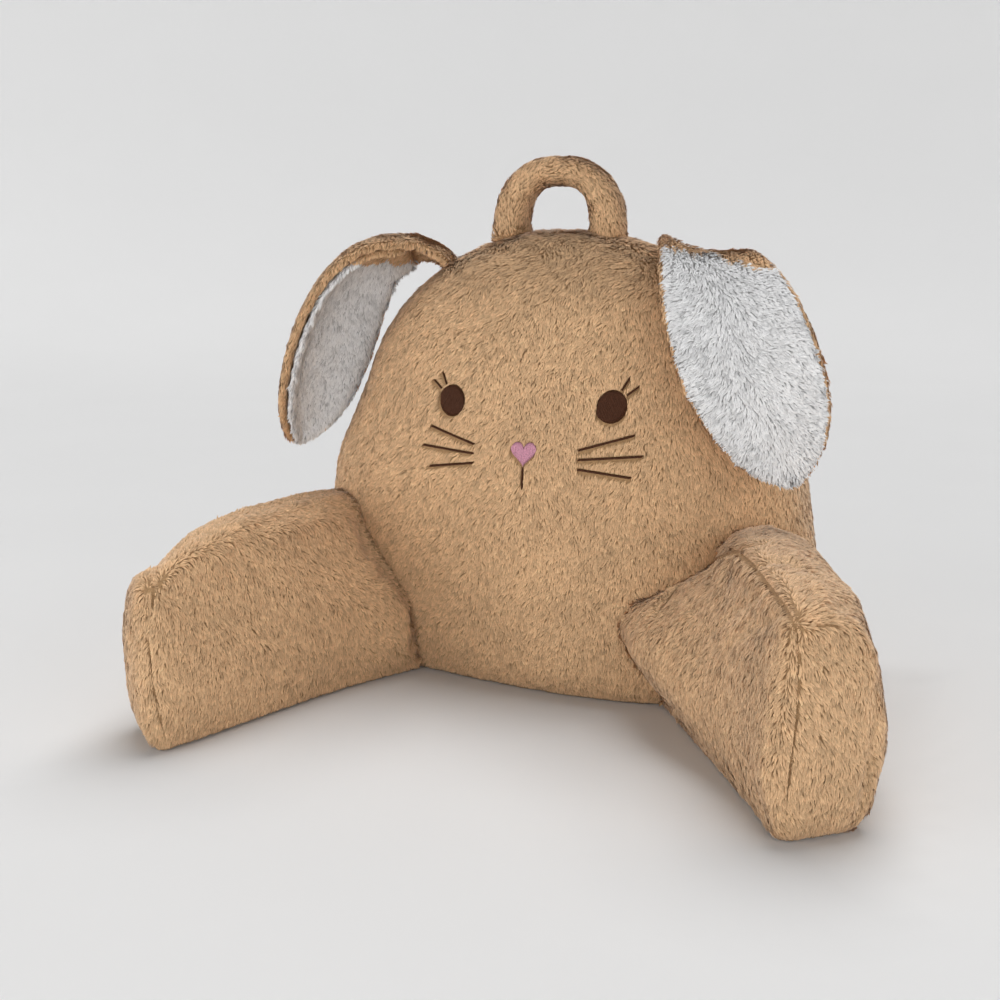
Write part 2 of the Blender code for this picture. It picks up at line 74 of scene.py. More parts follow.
# Seams and creases of the arms: depth, half width and places that they pass
ARM_RIGHT_SEAMS = (
    (0.0040, 0.0028, ((0.186, -0.166, 0.156), (0.198, -0.190, 0.158), (0.220, -0.244, 0.162),
                      (0.239, -0.291, 0.160), (0.255, -0.327, 0.157), (0.267, -0.351, 0.151))),
    (0.0055, 0.0030, ((0.267, -0.351, 0.151), (0.272, -0.361, 0.131), (0.274, -0.364, 0.100),
                      (0.272, -0.366, 0.063), (0.267, -0.363, 0.010))),
    (0.0070, 0.0034, ((0.216, -0.196, 0.167), (0.197, -0.185, 0.159), (0.172, -0.150, 0.145),
                      (0.158, -0.125, 0.129), (0.146, -0.132, 0.119), (0.136, -0.146, 0.110),
                      (0.131, -0.173, 0.099))),
    (0.0035, 0.0055, ((0.233, -0.290, 0.154), (0.205, -0.253, 0.126), (0.187, -0.241, 0.110))),
    (0.0035, 0.0060, ((0.253, -0.335, 0.152), (0.233, -0.304, 0.133), (0.210, -0.276, 0.112))),
    (0.0035, 0.0055, ((0.269, -0.352, 0.152), (0.288, -0.339, 0.159), (0.300, -0.280, 0.150))),
    (0.0030, 0.0065, ((0.277, -0.358, 0.140), (0.294, -0.349, 0.130), (0.314, -0.332, 0.121))),
    (0.0035, 0.0040, ((0.317, -0.300, 0.140), (0.321, -0.318, 0.119), (0.321, -0.326, 0.096),
                      (0.319, -0.329, 0.070), (0.312, -0.326, 0.020))),
    (0.0025, 0.0050, ((0.217, -0.244, 0.159), (0.242, -0.255, 0.167), (0.274, -0.284, 0.166))),
)
ARM_LEFT_SEAMS = (
    (0.0040, 0.0034, ((-0.214, -0.352, 0.128), (-0.214, -0.364, 0.092), (-0.209, -0.367, 0.054),
                      (-0.205, -0.364, 0.033), (-0.204, -0.359, 0.010))),
    (0.0025, 0.0050, ((-0.207, -0.344, 0.130), (-0.201, -0.322, 0.142), (-0.195, -0.280, 0.156),
                      (-0.188, -0.221, 0.159), (-0.182, -0.148, 0.160))),
    (0.0030, 0.0045, ((-0.214, -0.352, 0.128), (-0.222, -0.338, 0.142), (-0.240, -0.318, 0.148),
                      (-0.256, -0.302, 0.132), (-0.261, -0.300, 0.070))),
    (0.0025, 0.0060, ((-0.206, -0.345, 0.125), (-0.196, -0.330, 0.108), (-0.190, -0.316, 0.096))),
)

# Sewn face: a plain rabbit face in round sizes, the same as the solids'
EYE_SPREAD = 0.072
EYE_HEIGHT = 0.252
EYE_RADIUS = 0.0125
EYE_TALL = 1.08
LASH_LENGTH = 0.011
LASH_ANGLES = (38.0, 62.0)
NOSE_HEIGHT = 0.212
NOSE_WIDTH = 0.023
NOSE_TALL = 0.021
MOUTH_LENGTH = 0.018
WHISKER_START = 0.048
# Height of a whisker's start, its length and its slope in degrees
WHISKER_ROWS = (
    (0.2160, 0.046, 16.0),
    (0.2080, 0.052, 4.0),
    (0.2000, 0.044, -8.0),
)

# Ears: the cut pattern's width and length before the flap was turned and hung
EAR_FLAT = (0.118, 0.262)
LINING_FLAT = (0.104, 0.210)
LINING_SPREAD = 0.0034
LINING_SETTLE = 0.0018

# The tan edge that is rolled over the lining's upper end: its height and how it slopes to the side
ROLLS = {"left": (0.016, 0.0), "right": (0.011, 0.22)}

# Waves in a ripple, colour of the cloth under the tan pile, painted darker than the pile as the shade
# between its tufts, and margin around a tuft in the layout
WAVES = 12
BACKING_TAN = (0.50, 0.30, 0.145)
TUFT_UV_MARGIN = 0.10

# Spacing of the pile that the photograph doesn't show, over the other pile's
FAR_FACTOR = 2.0

# A tuft's waist along its run, its arch, its root's depth in the cloth and how round it shades, then the
# spread of the tufts, the size of a lock, how its tips gather and its tint, and the painted shade beside a
# seam
TUFT_WAIST = 0.50
TUFT_ARCH = 0.10
TUFT_ROOT = 0.0008
TUFT_ROUND = 0.30
SPREAD = 1.22
LOCK_SIZE = 0.0030
LOCK_GATHER = 0.42
LOCK_TINT = 0.085
SEAM_SHADE = 0.12

# How much more the pile stands up on top of the backrest
RUFFLE = 1.6

# Tufts stop this far beside a sewn line and a stitched one, and only lines at least this deep are sewn
SEAM_PART = 0.0002
STITCH_PART = 0.0010
SEWN_DEPTH = 0.0038

# How far a piece's sewn end goes on to meet its neighbour's cover, which lies under the pile
SEWN_REACH = 0.0032

# A cover rests this far over the floor, and its stuffing takes this many steps to settle
FLOOR_GAP = 0.0006
STUFFING_STEPS = 20

# Planes that split the backrest's pile into its back, its lower front and its upper front
BACK_SPLIT = -0.030
FRONT_SPLIT = 0.186


def unit(vectors):
    return vectors / np.maximum(np.linalg.norm(vectors, axis=1), 1e-9)[:, None]


def ripple(points, wavelength, seed):
    # Smooth seeded waves through space, mostly between -1 and 1
    rng = np.random.default_rng(seed)
    total = np.zeros(len(points))
    for _ in range(WAVES):
        way = rng.normal(size=3)
        way /= np.linalg.norm(way)
        turns = rng.uniform(0.75, 1.3) / wavelength
        total += np.sin(points @ way * turns * 2.0 * math.pi + rng.uniform(0.0, 2.0 * math.pi))
    return total / math.sqrt(2.0 * WAVES)


def ramp(values, start, end):
    t = np.clip((values - start) / (end - start), 0.0, 1.0)
    return t * t * (3.0 - 2.0 * t)


def add_mesh(name, points, faces, material):
    mesh = bpy.data.meshes.new(name)
    mesh.vertices.add(len(points))
    mesh.vertices.foreach_set("co", np.asarray(points, dtype=np.float32).ravel())
    faces = np.asarray(faces, dtype=np.int32)
    sides = faces.shape[1]
    mesh.loops.add(faces.size)
    mesh.loops.foreach_set("vertex_index", faces.ravel())
    mesh.polygons.add(len(faces))
    mesh.polygons.foreach_set("loop_start", np.arange(0, faces.size, sides, dtype=np.int32))
    mesh.update(calc_edges=True)
    mesh.validate()
    mesh.shade_smooth()
    mesh.materials.append(material)
    return show(bpy.data.objects.new(name, mesh))


def bake_modifiers(obj):
    # The evaluated mesh takes the object's mesh's place and its modifiers go
    bpy.context.view_layer.update()
    graph = bpy.context.evaluated_depsgraph_get()
    made = bpy.data.meshes.new_from_object(obj.evaluated_get(graph))
    obj.modifiers.clear()
    obj.data = made


def read_triples(items, key, kind=np.float32):
    values = np.empty(len(items) * 3, dtype=kind)
    items.foreach_get(key, values)
    return values.reshape(-1, 3)


def read_points(mesh):
    return read_triples(mesh.vertices, "co").astype(float)


def read_normals(mesh):
    return read_triples(mesh.vertex_normals, "vector").astype(float)


def read_triangles(mesh):
    mesh.calc_loop_triangles()
    return read_triples(mesh.loop_triangles, "vertices", np.int32)


def write_points(mesh, points):
    mesh.vertices.foreach_set("co", np.asarray(points, dtype=np.float32).ravel())
    mesh.update()


def write_share(mesh, name, values):
    layer = mesh.attributes.new(name, "FLOAT", "POINT")
    layer.data.foreach_set("value", values.astype(np.float32))


class Solid:
    # A closed surface that other pieces are measured against
    def __init__(self, points, triangles):
        self.tree = BVHTree.FromPolygons([Vector(p) for p in points], [tuple(t) for t in triangles.tolist()])
        self.low = points.min(axis=0)
        self.high = points.max(axis=0)

    def gaps(self, points, reach=0.015):
        # How far each point within reach lies outside, below zero inside, and the surface's normal there
        gaps = np.full(len(points), 1.0)
        normals = np.zeros((len(points), 3))
        close = ((points > self.low - reach) & (points < self.high + reach)).all(axis=1)
        for i in np.nonzero(close)[0]:
            spot = Vector(points[i])
            place, normal, _, distance = self.tree.find_nearest(spot)
            outside = (spot - place).dot(normal) >= 0.0
            gaps[i] = distance if outside else -distance
            normals[i] = normal
        return gaps, normals


def stretch_gap(points, a, b):
    # Distance of each point from the straight stretch from a to b
    run = b - a
    share = np.clip((points - a) @ run / (run @ run), 0.0, 1.0)
    return np.linalg.norm(points - a - share[:, None] * run, axis=1)


def along_lines(points, lines):
    # Depth to which seams and creases draw each point in
    depth = np.zeros(len(points))
    for deep, half, places in lines:
        nearest = np.full(len(points), 1.0)
        for a, b in zip(np.array(places[:-1]), np.array(places[1:])):
            nearest = np.minimum(nearest, stretch_gap(points, a, b))
        depth = np.maximum(depth, deep * np.exp(-(nearest / half) ** 2))
    return depth


def strip_seams(depth, half):
    # The four seams between the backrest's panels and its side strip
    lines = []
    for side in (-1.0, 1.0):
        for column in ("front_y", "back_y"):
            x, y, z = (STRIP_COLUMNS.index(key) for key in ("seam_x", column, "height"))
            lines.append((depth, half, tuple((side * row[x], row[y], row[z]) for row in STRIP_ROWS)))
    return tuple(lines)


# Materials

def set_inputs(tree, node, inputs):
    # Each input takes a value or is linked to another node's socket
    for name, value in inputs.items():
        if isinstance(value, bpy.types.NodeSocket):
            tree.links.new(value, node.inputs[name])
        else:
            node.inputs[name].default_value = value


def add_node(tree, kind, inputs, **facts):
    node = tree.nodes.new("ShaderNode" + kind)
    for name, value in facts.items():
        setattr(node, name, value)
    set_inputs(tree, node, inputs)
    return node


def principled(name, roughness, sheen, sheen_roughness, specular=0.25):
    material = bpy.data.materials.new(name)
    material.use_nodes = True
    shader = material.node_tree.nodes["Principled BSDF"]
    set_inputs(material.node_tree, shader, {
        "Roughness": roughness,
        "Sheen Weight": sheen,
        "Sheen Roughness": sheen_roughness,
        "Specular IOR Level": specular,
    })
    return material, shader, material.node_tree


def mix_colours(tree, blend, factor, first, second):
    inputs = {"Factor": factor, "A": first, "B": second}
    return add_node(tree, "Mix", inputs, data_type="RGBA", blend_type=blend).outputs["Result"]


def noise_between(tree, scale, low, high, coordinates=None):
    # Noise spread over a range, as a factor, through the object's own space if no coordinates are given
    if coordinates is None:
        coordinates = add_node(tree, "TexCoord", {}).outputs["Object"]
    noise = add_node(tree, "TexNoise", {"Scale": scale, "Detail": 3.0, "Vector": coordinates})
    spread = add_node(tree, "MapRange", {
        "From Min": 0.3,
        "From Max": 0.7,
        "To Min": low,
        "To Max": high,
        "Value": noise.outputs["Fac"],
    })
    return spread.outputs["Result"]


def add_bump(tree, shader, height, strength, distance):
    bump = add_node(tree, "Bump", {"Strength": strength, "Distance": distance, "Height": height})
    tree.links.new(bump.outputs["Normal"], shader.inputs["Normal"])


def opaque(colour, factor=1.0):
    return tuple(c * factor for c in colour) + (1.0,)


def pile_material(name, cells, sheen):
    # Root to tip colour comes with the tufts, fine fibre streaks run along each of them
    material, shader, tree = principled(name, 0.78, sheen, 0.45)
    colour = add_node(tree, "VertexColor", {}, layer_name="pile_colour")
    layout = add_node(tree, "UVMap", {}, uv_map="OFBake")
    along = (cells * 3.0, cells * 0.8, 1.0)
    stretch = add_node(tree, "Mapping", {"Scale": along, "Vector": layout.outputs["UV"]})
    streak = noise_between(tree, 1.0, 0.88, 1.10, stretch.outputs["Vector"])
    cloud = noise_between(tree, 26.0, 0.95, 1.05)
    fibre = mix_colours(tree, "MULTIPLY", 1.0, colour.outputs["Color"], streak)
    tree.links.new(mix_colours(tree, "MULTIPLY", 1.0, fibre, cloud), shader.inputs["Base Color"])
    return material


def backing_material(name, colour, roll_colour=None):
    # The knitted ground that the pile grows from, darker than the pile as painted shade between its tufts,
    # of the roll's colour where the tan edge is rolled over it
    material, shader, tree = principled(name, 0.95, 0.1, 0.6)
    patch = noise_between(tree, 420.0, 0.0, 1.0)
    ground = mix_colours(tree, "MIX", patch, opaque(colour, 0.72), opaque(colour))
    if roll_colour is not None:
        rolled = add_node(tree, "Attribute", {}, attribute_name="rolled")
        ground = mix_colours(tree, "MIX", rolled.outputs["Fac"], ground, opaque(roll_colour))
    tree.links.new(ground, shader.inputs["Base Color"])
    add_bump(tree, shader, patch, 0.5, 0.0006)
    return material


def thread_material(name, colour):
    # Embroidery thread with fine twist lines
    material, shader, tree = principled(name, 0.60, 0.0, 0.3, 0.20)
    twist = noise_between(tree, 1500.0, 0.0, 1.0)
    light = opaque(min(c * 1.35 + 0.01, 1.0) for c in colour)
    tree.links.new(mix_colours(tree, "MIX", twist, opaque(colour, 0.7), light), shader.inputs["Base Color"])
    add_bump(tree, shader, twist, 0.4, 0.0002)
    return material


# Covers

def show(obj):
    bpy.context.scene.collection.objects.link(obj)
    return obj


def stand_for(piece, node):
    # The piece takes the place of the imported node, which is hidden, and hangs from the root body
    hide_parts(node)
    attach(piece, "root")


def copy_node(node, name, material):
    source = NODES[node]
    mesh = source.data.copy()
    mesh.name = name
    mesh.transform(source.matrix_world)
    mesh.materials.clear()
    mesh.materials.append(material)
    join_corners(mesh)
    return show(bpy.data.objects.new(name, mesh))


def join_corners(mesh):
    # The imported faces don't share their corners
    work = bmesh.new()
    work.from_mesh(mesh)
    bmesh.ops.remove_doubles(work, verts=work.verts, dist=0.00001)
    work.to_mesh(mesh)
    work.free()


def remesh(cover, voxel):
    tool = cover.modifiers.new("even faces", "REMESH")
    tool.mode = "VOXEL"
    tool.voxel_size = voxel
    bake_modifiers(cover)


def even_out(cover, rounds):
    tool = cover.modifiers.new("even out", "SMOOTH")
    tool.factor = 0.5
    tool.iterations = rounds
    bake_modifiers(cover)


def shrink(cover, inset, sewn_to=None):
    # The cover lies under the pile, its base stays on the floor and its sewn end reaches the next cover
    mesh = cover.data
    points = read_points(mesh)
    normals = read_normals(mesh)
    resting = (points[:, 2] < 0.006) & (normals[:, 2] < -0.6)
    high = ramp(points[:, 2], 0.004, 0.018)
    inward = -normals * (inset * (1.2 - 0.2 * high))[:, None]
    inward[:, 2] *= high
    flat = normals * (1.0, 1.0, 0.0)
    rim = resting & (np.linalg.norm(flat, axis=1) > 0.12)
    inward[rim] = -unit(flat[rim]) * inset * 1.3
    if sewn_to is not None:
        distance, facing = sewn_to.gaps(points)
        sewn = (distance < 0.0030) & ((facing * normals).sum(axis=1) < 0.2)
        inward[sewn] = -facing[sewn] * SEWN_REACH
    points += inward
    points[resting, 2] = FLOOR_GAP
    points[:, 2] = np.maximum(points[:, 2], FLOOR_GAP)
    write_points(mesh, points)
    return resting


def fill_out(cover, held, pressure, cap):
    # Stuffing: cloth under inner pressure, held at its seams, with a limit on how far a place moves
    scene = bpy.context.scene
    group = cover.vertex_groups.new(name="held")
    group.add([int(i) for i in np.nonzero(held)[0]], 1.0, "REPLACE")
    start = read_points(cover.data)
    tool = cover.modifiers.new("stuffing", "CLOTH")
    cloth = tool.settings
    cloth.vertex_group_mass = group.name
    cloth.use_pressure = True
    cloth.uniform_pressure_force = pressure
    cloth.quality = 5
    cloth.mass = 0.3
    cloth.tension_stiffness = 15.0
    cloth.bending_stiffness = 0.8
    cloth.effector_weights.gravity = 0.0
    tool.point_cache.frame_start = 1
    tool.point_cache.frame_end = STUFFING_STEPS
    for number in range(1, STUFFING_STEPS + 1):
        scene.frame_set(number)
    bake_modifiers(cover)
    scene.frame_set(1)
    moved = read_points(cover.data) - start
    length = np.linalg.norm(moved, axis=1)
    moved *= np.minimum(1.0, cap / np.maximum(length, 1e-9))[:, None]
    points = start + moved
    points[:, 2] = np.maximum(points[:, 2], FLOOR_GAP)
    write_points(cover.data, points)
    cover.vertex_groups.clear()


def draw_in(cover, lines):
    # Seams and creases go in after the stuffing
    mesh = cover.data
    points = read_points(mesh)
    depth = along_lines(points, lines) * ramp(points[:, 2], 0.001, 0.010)
    points -= read_normals(mesh) * depth[:, None]
    write_points(mesh, points)


def padded_cover(node, name, material, settings, lines, sewn_to=None):
    cover = copy_node(node, name, material)
    remesh(cover, settings.voxel)
    even_out(cover, 3)
    resting = shrink(cover, settings.inset, sewn_to)
    points = read_points(cover.data)
    held = resting | (along_lines(points, lines) > 0.0015)
    fill_out(cover, held, settings.pressure, settings.cap)
    draw_in(cover, lines)
    cover.data.shade_smooth()
    return cover


# Pile

def scatter(cover, spacing, seed, keep):
    # Evenly spread seeded spots over the cover, one in each little cube of space
    mesh = cover.data
    points = read_points(mesh)
    normals = read_normals(mesh)
    triangles = read_triangles(mesh)
    corners = points[triangles]
    sides = corners[:, 1:] - corners[:, :1]
    area = 0.5 * np.linalg.norm(np.cross(sides[:, 0], sides[:, 1]), axis=1)
    chosen = keep(corners.mean(axis=1), unit(normals[triangles].mean(axis=1)))
    area = np.where(chosen, area, 0.0)
    rng = np.random.default_rng(seed)
    count = int(area.sum() / spacing ** 2 * 3.0)
    pick = rng.choice(len(triangles), count, p=area / area.sum())
    a = np.sqrt(rng.random(count))
    b = rng.random(count)
    weights = np.stack([1.0 - a, a * (1.0 - b), a * b], axis=1)[:, :, None]
    spots = (corners[pick] * weights).sum(axis=1)
    facing = unit((normals[triangles[pick]] * weights).sum(axis=1))
    _, chosen = np.unique(cells_of(spots, spacing * SPREAD), return_index=True)
    chosen.sort()
    return spots[chosen], facing[chosen]


def cells_of(points, size):
    # Number of the little turned cube that each point lies in
    turn = np.array(((0.80, 0.36, -0.48), (0.00, 0.80, 0.60), (0.60, -0.48, 0.64)))
    steps = np.floor(points @ turn / size).astype(np.int64) + 4096
    return (steps[:, 0] * 8192 + steps[:, 1]) * 8192 + steps[:, 2]


def gather_tips(roots, tips):
    # Neighbouring tufts lean together into locks
    _, lock = np.unique(cells_of(roots, LOCK_SIZE), return_inverse=True)
    count = np.bincount(lock)
    middle = np.stack([np.bincount(lock, weights=tips[:, k]) / count for k in range(3)], axis=1)
    return tips + (middle[lock] - tips) * LOCK_GATHER


def turn_about(vectors, axes, angles):
    c = np.cos(angles)[:, None]
    s = np.sin(angles)[:, None]
    share = (axes * vectors).sum(axis=1)[:, None]
    return vectors * c + np.cross(axes, vectors) * s + axes * share * (1.0 - c)


def untrimmed(roots, tips, normals):
    return np.ones(len(roots))


def seamless(points):
    return np.zeros(len(points))


def lay_pile(name, cover, comb, keep, kind, seed, trim=untrimmed, seam=seamless):
    # comb gives the nap's direction, keep where pile grows, trim how much of a tuft stays and seam how
    # near a seam is
    rng = np.random.default_rng(seed)
    roots, normals = scatter(cover, kind["spacing"], seed, keep)
    count = len(roots)
    way = comb(roots, normals)
    way = unit(way - normals * (way * normals).sum(axis=1)[:, None])
    swirl = 0.30 * ripple(roots, 0.070, 11) + 0.34 * ripple(roots, 0.016, 12) + 0.20 * rng.normal(size=count)
    near = seam(roots)
    way = turn_about(way, normals, swirl + near * rng.normal(size=count))
    ruffled = 1.0 + RUFFLE * ramp(roots[:, 2], 0.33, 0.39) * (0.6 + 0.4 * ripple(roots, 0.030, 17))
    lift = kind["lie"] * (ruffled + 0.45 * ripple(roots, 0.011, 13) + 0.25 * rng.normal(size=count))
    lift = np.clip(lift, 0.02, 1.0)
    length = kind["length"] * (1.0 + 0.16 * ripple(roots, 0.014, 14) + 0.14 * rng.normal(size=count))
    length = np.clip(length, 0.4 * kind["length"], 1.5 * kind["length"]) * (1.0 - 0.20 * near)
    tips = roots + (way * np.cos(lift)[:, None] + normals * np.sin(lift)[:, None]) * length[:, None]
    tips = clear_floor(gather_tips(roots, tips), normals)
    share = trim(roots, tips, normals)
    stays = share > 0.2
    roots, normals, tips, share = roots[stays], normals[stays], tips[stays], share[stays]
    tips = roots + (tips - roots) * share[:, None]
    pile = add_tufts(name, roots, tips, normals, share, kind, rng)
    paint_tufts(pile, roots, near[stays], rng, kind)
    spread_tufts(pile, len(roots))
    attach(pile, "root")


def clear_floor(tips, normals):
    # Tufts along the base turn outward where they would meet the floor
    under = np.maximum(0.0012 - tips[:, 2], 0.0)
    flat = normals * (1.0, 1.0, 0.0)
    tips = tips + unit(flat) * np.minimum(under, 0.003)[:, None] * 0.45
    tips[:, 2] += under
    return tips


def add_tufts(name, roots, tips, normals, share, kind, rng):
    # Each tuft is a slim blade: a root in the cloth, an arched waist and a tip that lies down
    count = len(roots)
    run = tips - roots
    reach = np.linalg.norm(run, axis=1)
    along = run / np.maximum(reach, 1e-6)[:, None]
    side = unit(np.cross(along, normals))
    width = kind["width"] * (1.0 + 0.18 * rng.normal(size=count)).clip(0.5, 1.6) * (0.6 + 0.4 * share)
    middle = roots + run * TUFT_WAIST + normals * (reach * TUFT_ARCH)[:, None]
    tilt = rng.normal(size=count) * 0.15
    half = unit(side + normals * tilt[:, None]) * (width * 0.5)[:, None]
    corners = [roots - normals * TUFT_ROOT, middle - half, middle + half, tips]
    points = np.stack(corners, axis=1).reshape(-1, 3)
    points[:, 2] = np.maximum(points[:, 2], 0.0008)
    pattern = np.array([(0, 2, 1), (1, 2, 3)])
    faces = (pattern[None, :, :] + 4 * np.arange(count)[:, None, None]).reshape(-1, 3)
    material = pile_material(name + "_fibre", pile_cells(count), kind["sheen"])
    pile = add_mesh(name, points, faces, material)
    lean = (along * 0.25)[:, None, :] * np.array((-1.0, 0.0, 0.0, 1.0))[None, :, None]
    round_off = (side * TUFT_ROUND)[:, None, :] * np.array((0.0, -1.0, 1.0, 0.0))[None, :, None]
    shade = unit((normals[:, None, :] + lean + round_off).reshape(-1, 3))
    pile.data.normals_split_custom_set_from_vertices(shade.tolist())
    return pile


def pile_cells(count):
    return math.ceil(math.sqrt(count))


def paint_tufts(pile, roots, near, rng, kind):
    # Darker at the root as painted shade deep in the pile and lighter toward the tip, with some tufts, locks
    # and patches lighter than others
    count = len(roots)
    root = np.array(kind["root"])
    tip = np.array(kind["tip"])
    share = np.array((0.0, 0.62, 0.62, 1.0))
    tone_and_shade = 1.0 + 0.07 * rng.normal(size=count)
    tone_and_shade = tone_and_shade + 0.05 * ripple(roots, 0.013, 15) + 0.04 * ripple(roots, 0.09, 16)
    _, lock = np.unique(cells_of(roots, LOCK_SIZE), return_inverse=True)
    tone_and_shade += LOCK_TINT * rng.normal(size=lock.max() + 1)[lock]
    # Painted shade: tufts beside seams and joints with the neighbouring parts are darkened
    tone_and_shade *= 1.0 - SEAM_SHADE * near
    # Painted shade: the pile is darker toward the top of the backrest
    tone_and_shade *= 1.0 - kind["crown_shade"] * ramp(roots[:, 2], 0.31, 0.38)
    colours = np.ones((count, 4, 4), dtype=np.float32)
    colours[:, :, :3] = (root + (tip - root) * share[:, None])[None] * tone_and_shade.clip(0.6, 1.35)[:, None, None]
    layer = pile.data.color_attributes.new("pile_colour", "FLOAT_COLOR", "POINT")
    layer.data.foreach_set("color", colours.clip(0.0, 1.0).ravel())


def spread_tufts(pile, count):
    # Every tuft has its own cell of the layout, from root to tip
    cells = pile_cells(count)
    corners = np.array((((0.5, 0.0), (1.0, 0.5), (0.0, 0.5)), ((0.0, 0.5), (1.0, 0.5), (0.5, 1.0))))
    local = corners * (1.0 - 2.0 * TUFT_UV_MARGIN) + TUFT_UV_MARGIN
    index = np.arange(count)
    origin = np.stack([index % cells, index // cells], axis=1)[:, None, None, :]
    layer = pile.data.uv_layers.new(name="OFBake")
    layer.data.foreach_set("uv", ((local[None] + origin) / cells).astype(np.float32).ravel())


def parted(lines):
    # Tufts on either side of a sewn line stop before it, so that the thread's dark line shows
    sewn = [np.array(places) for depth, _, places in lines if depth >= SEWN_DEPTH]

    def trim(roots, tips, normals):
        share = np.ones(len(roots))
        run = tips - roots
        for places in sewn:
            for a, b in zip(places[:-1], places[1:]):
                size = np.linalg.norm(b - a)
                along = (b - a) / size
                passed = (roots - a) @ along
                offset = roots - a - passed[:, None] * along
                near = (np.linalg.norm(offset, axis=1) < 0.014) & (passed > -0.003) & (passed < size + 0.003)
                offset -= normals * (offset * normals).sum(axis=1)[:, None]
                away = np.maximum(np.linalg.norm(offset, axis=1), 1e-9)
                toward = -(run * offset).sum(axis=1) / away
                room = np.where(toward > 1e-6, (away - SEAM_PART) / np.maximum(toward, 1e-6), 1.0)
                room = np.where(away < SEAM_PART, 0.0, room).clip(0.0, 1.0)
                share = np.where(near, np.minimum(share, room), share)
        return share
    return trim


def beside(lines, trees):
    # How near a seam is: 1 on it, 0 from about 5 mm away
    def near(points):
        nearness = along_lines(points, tuple((1.0, half * 0.8, places) for _, half, places in lines))
        for tree in trees:
            distance, _ = tree.gaps(points)
            nearness = np.maximum(nearness, np.exp(-(np.maximum(distance, 0.0) / 0.0022) ** 2))
        return nearness
    return near


def above_base(points, normals):
    return (points[:, 2] > 0.003) | (normals[:, 2] > -0.4)


def pile_kind(context, colour, sheen, spacing=1.0, length=1.0, width=1.0, lie=1.0, crown_shade=0.0):
    # Facts of one panel's pile: the settings times the panel's own factors
    pile = context.scene.pillow_pile
    return {
        "spacing": pile.spacing * spacing,
        "length": pile.length * length,
        "width": pile.width * width,
        "lie": pile.lie * lie,
        "root": tuple(getattr(pile, colour + "_root")),
        "tip": tuple(getattr(pile, colour + "_tip")),
        "sheen": sheen,
        "slot": colour + "_fur",
        "crown_shade": crown_shade,
    }


def tan_kind(context, coarse=1.0, length=1.0, crown_shade=0.0):
    return pile_kind(context, "tan", 0.22, coarse, length, coarse, crown_shade=crown_shade)


def white_kind(context):
    return pile_kind(context, "white", 0.15, 1.0, 0.95, 1.05, 1.1)


# Comb directions: which way the nap falls

def flow(*parts):
    return np.stack(np.broadcast_arrays(*parts), axis=1)


def comb_front(points, normals):
    x = points[:, 0]
    z = points[:, 2]
    sideways = np.where(x < 0.0, 4.2, 2.6) * (x - 0.01) - 0.25
    top = ramp(z, 0.30, 0.39)
    sideways = sideways * (1.0 + 0.8 * top) + top * 1.1 * ripple(points, 0.05, 31)
    down = -1.0 + 1.1 * top
    return flow(sideways, -0.3 - 0.8 * top, down)


def comb_back(points, normals):
    return flow(1.2 * points[:, 0], 0.1, -1.0)


def comb_arm_left(points, normals):
    # Down the inner panel, leaning with it, and back along the top
    far = ramp(-points[:, 1], 0.12, 0.34)
    top = ramp(normals[:, 2], 0.25, 0.95)
    joint = 1.0 - ramp(-points[:, 1], 0.085, 0.125)
    sideways = 0.55 - 0.95 * far
    down = -1.0 + 0.60 * top
    return flow(sideways * (1.0 - top) - 0.35 * top, 0.15 + 0.95 * top + 0.3 * joint, down)


def comb_arm_right(points, normals):
    # Across and down the inner panel, out over the end panel and back along the top
    end = ramp(-normals[:, 1] * 0.8 + normals[:, 0] * 0.6, 0.45, 0.75)
    inner = ramp(-normals[:, 0], 0.1, 0.5)
    high = ramp(points[:, 2], 0.03, 0.14)
    top = ramp(normals[:, 2], 0.35, 0.8) * (1.0 - inner)
    across = -(0.40 + 0.55 * high) * inner + 0.25 * end + 0.6 * top
    down = -1.0 + 0.25 * high
    joint = 1.0 - ramp(-points[:, 1] - 0.35 * points[:, 0], 0.060, 0.105)
    return flow(across, -0.45 + 0.3 * end + 0.5 * joint + 1.3 * top, down)


def comb_handle(points, normals):
    # Along the strap, up one leg and down the other
    away = points - np.array((-0.007, 0.0, 0.400))
    return flow(away[:, 2], -0.012, -away[:, 0])


def comb_ear(points, normals):
    return flow(np.where(points[:, 0] > 0.0, 0.35, -0.35), -0.3, -1.0)


def comb_lining(points, normals):
    # Down the ear, and out over its rim on both sides
    slope, start = np.polyfit(points[:, 2], points[:, 0], 1)
    offset = points[:, 0] - start - slope * points[:, 2]
    return flow(slope * -1.0 + offset / 0.030, -0.2, -1.0)


# Stitching

def heart_outline(count):
    turns = np.linspace(0.0, 2.0 * math.pi, count, endpoint=False)
    x = NOSE_WIDTH * 0.5 * np.sin(turns) ** 3
    z = (13.0 * np.cos(turns) - 5.0 * np.cos(2 * turns) - 2.0 * np.cos(3 * turns) - np.cos(4 * turns)) / 29.0
    return np.stack([x, NOSE_HEIGHT + NOSE_TALL * z], axis=1)


def eye_outline(side, count):
    turns = np.linspace(0.0, 2.0 * math.pi, count, endpoint=False)
    return np.stack([side * EYE_SPREAD + EYE_RADIUS * np.cos(turns),
                     EYE_HEIGHT + EYE_RADIUS * EYE_TALL * np.sin(turns)], axis=1)


